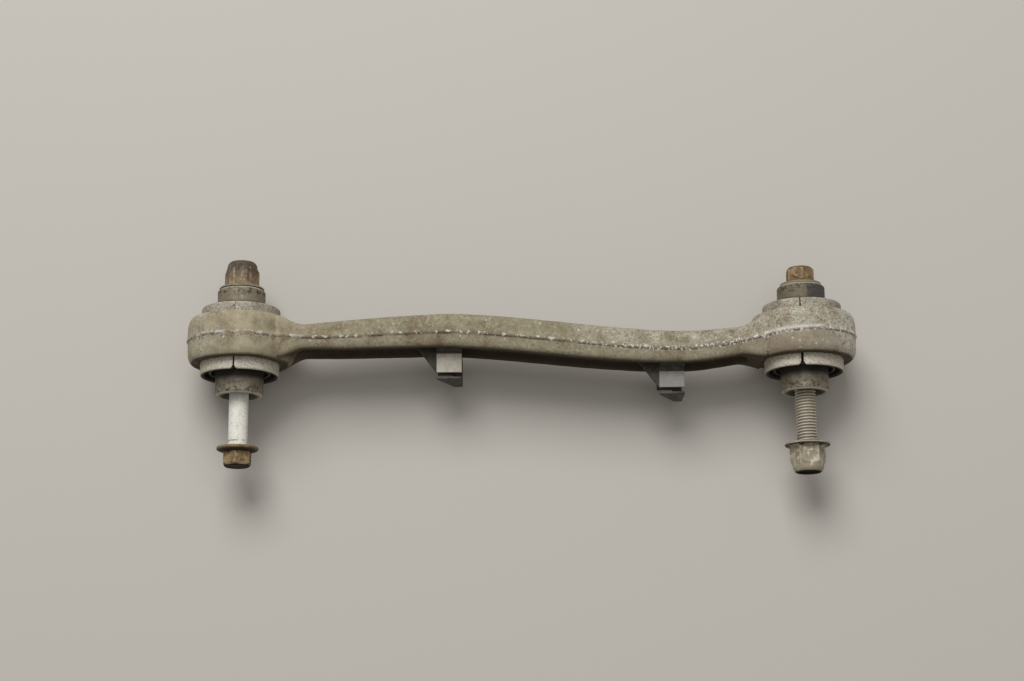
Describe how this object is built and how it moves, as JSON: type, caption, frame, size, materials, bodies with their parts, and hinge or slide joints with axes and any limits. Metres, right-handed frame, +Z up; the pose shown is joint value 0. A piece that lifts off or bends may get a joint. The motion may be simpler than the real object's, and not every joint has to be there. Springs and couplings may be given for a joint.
{
  "type": "rear control arm",
  "caption": "Forged aluminium suspension link with a rubber bush in the eye at each end, long through bolts with flanged lock nuts, and moulded cable clips.",
  "frame": {"origin": "on the floor plane under the centre of the bounding box, half-way between the two bush axes", "axes": "+X from the left bush to the right bush, +Y along the bush axes away from the clips, +Z up across the beam's height"},
  "size_m": [0.389, 0.1268, 0.062],
  "materials": {
    "forged_aluminium": "forged, oxidised and dusty",
    "collar_steel": "dull rolled steel with a dusty film",
    "sleeve_steel": "dark phosphated steel",
    "bush_rubber": "matt black",
    "zinc_steel": "bright zinc plating",
    "threaded_steel": "dull yellowed plating",
    "rusty_steel": "brown surface rust",
    "nut_steel": "worn grey plating, mottled brown",
    "nylon": "dark moulded nylon",
    "clip_plastic": "light grey moulding, grimy"
  },
  "bodies": {
    "arm": {"arm": "forged_aluminium", "left_outer_sleeve": "collar_steel", "left_outer_rubber": "bush_rubber", "left_cable_clip": "clip_plastic", "right_outer_sleeve": "collar_steel", "right_outer_rubber": "bush_rubber", "right_cable_clip": "clip_plastic"},
    "left_ring": {"left_intermediate_ring": "collar_steel", "left_inner_rubber": "bush_rubber"},
    "left_core": {"left_inner_sleeve": "sleeve_steel"},
    "left_washer": {"left_bolt_washer": "rusty_steel"},
    "left_bolt": {"left_bolt": "zinc_steel"},
    "left_nut": {"left_nut": "nut_steel", "left_nut_lock_ring": "nylon"},
    "right_ring": {"right_intermediate_ring": "collar_steel", "right_inner_rubber": "bush_rubber"},
    "right_core": {"right_inner_sleeve": "sleeve_steel"},
    "right_washer": {"right_bolt_washer": "rusty_steel"},
    "right_bolt": {"right_bolt": "threaded_steel"},
    "right_nut": {"right_nut": "nut_steel", "right_nut_lock_ring": "nylon"}
  },
  "joints": [
    {"name": "left_bush_twist", "type": "hinge", "parent": "arm", "child": "left_core", "pos_m": [-0.1635, 0.0148, 0.031], "axis": [0, 1, 0], "range_deg": [-18, 18], "stiffness_Nm_per_rad": 60},
    {"name": "left_ring_twist", "type": "hinge", "parent": "arm", "child": "left_ring", "pos_m": [-0.1635, 0.0148, 0.031], "axis": [0, 1, 0], "range_deg": [-6, 6]},
    {"name": "left_bolt_slide", "type": "slide", "parent": "left_core", "child": "left_washer", "axis": [0, 1, 0], "range_m": [0, 0.0296]},
    {"name": "left_bolt_turn", "type": "hinge", "parent": "left_washer", "child": "left_bolt", "pos_m": [-0.1635, 0.0148, 0.031], "axis": [0, -1, 0], "range_deg": [0, 2520]},
    {"name": "left_nut_travel", "type": "slide", "parent": "left_washer", "child": "left_nut", "axis": [0, 1, 0], "range_m": [0, 0.01226]},
    {"name": "right_bush_twist", "type": "hinge", "parent": "arm", "child": "right_core", "pos_m": [0.1635, 0.0148, 0.031], "axis": [0, 1, 0], "range_deg": [-18, 18], "stiffness_Nm_per_rad": 60},
    {"name": "right_ring_twist", "type": "hinge", "parent": "arm", "child": "right_ring", "pos_m": [0.1635, 0.0148, 0.031], "axis": [0, 1, 0], "range_deg": [-6, 6]},
    {"name": "right_bolt_slide", "type": "slide", "parent": "right_core", "child": "right_washer", "axis": [0, 1, 0], "range_m": [0, 0.0296]},
    {"name": "right_bolt_turn", "type": "hinge", "parent": "right_washer", "child": "right_bolt", "pos_m": [0.1635, 0.0148, 0.031], "axis": [0, 1, 0], "range_deg": [0, 2520]},
    {"name": "right_nut_travel", "type": "slide", "parent": "right_washer", "child": "right_nut", "axis": [0, -1, 0], "range_m": [0, 0.01226]}
  ],
  "couplings": [
    {"joint": "left_ring_twist", "follows": "left_bush_twist", "ratio": 0.324},
    {"joint": "left_nut_travel", "follows": "left_bolt_turn", "m_per_rad": 0.00027852},
    {"joint": "right_ring_twist", "follows": "right_bush_twist", "ratio": 0.324},
    {"joint": "right_nut_travel", "follows": "right_bolt_turn", "m_per_rad": 0.00027852}
  ]
}
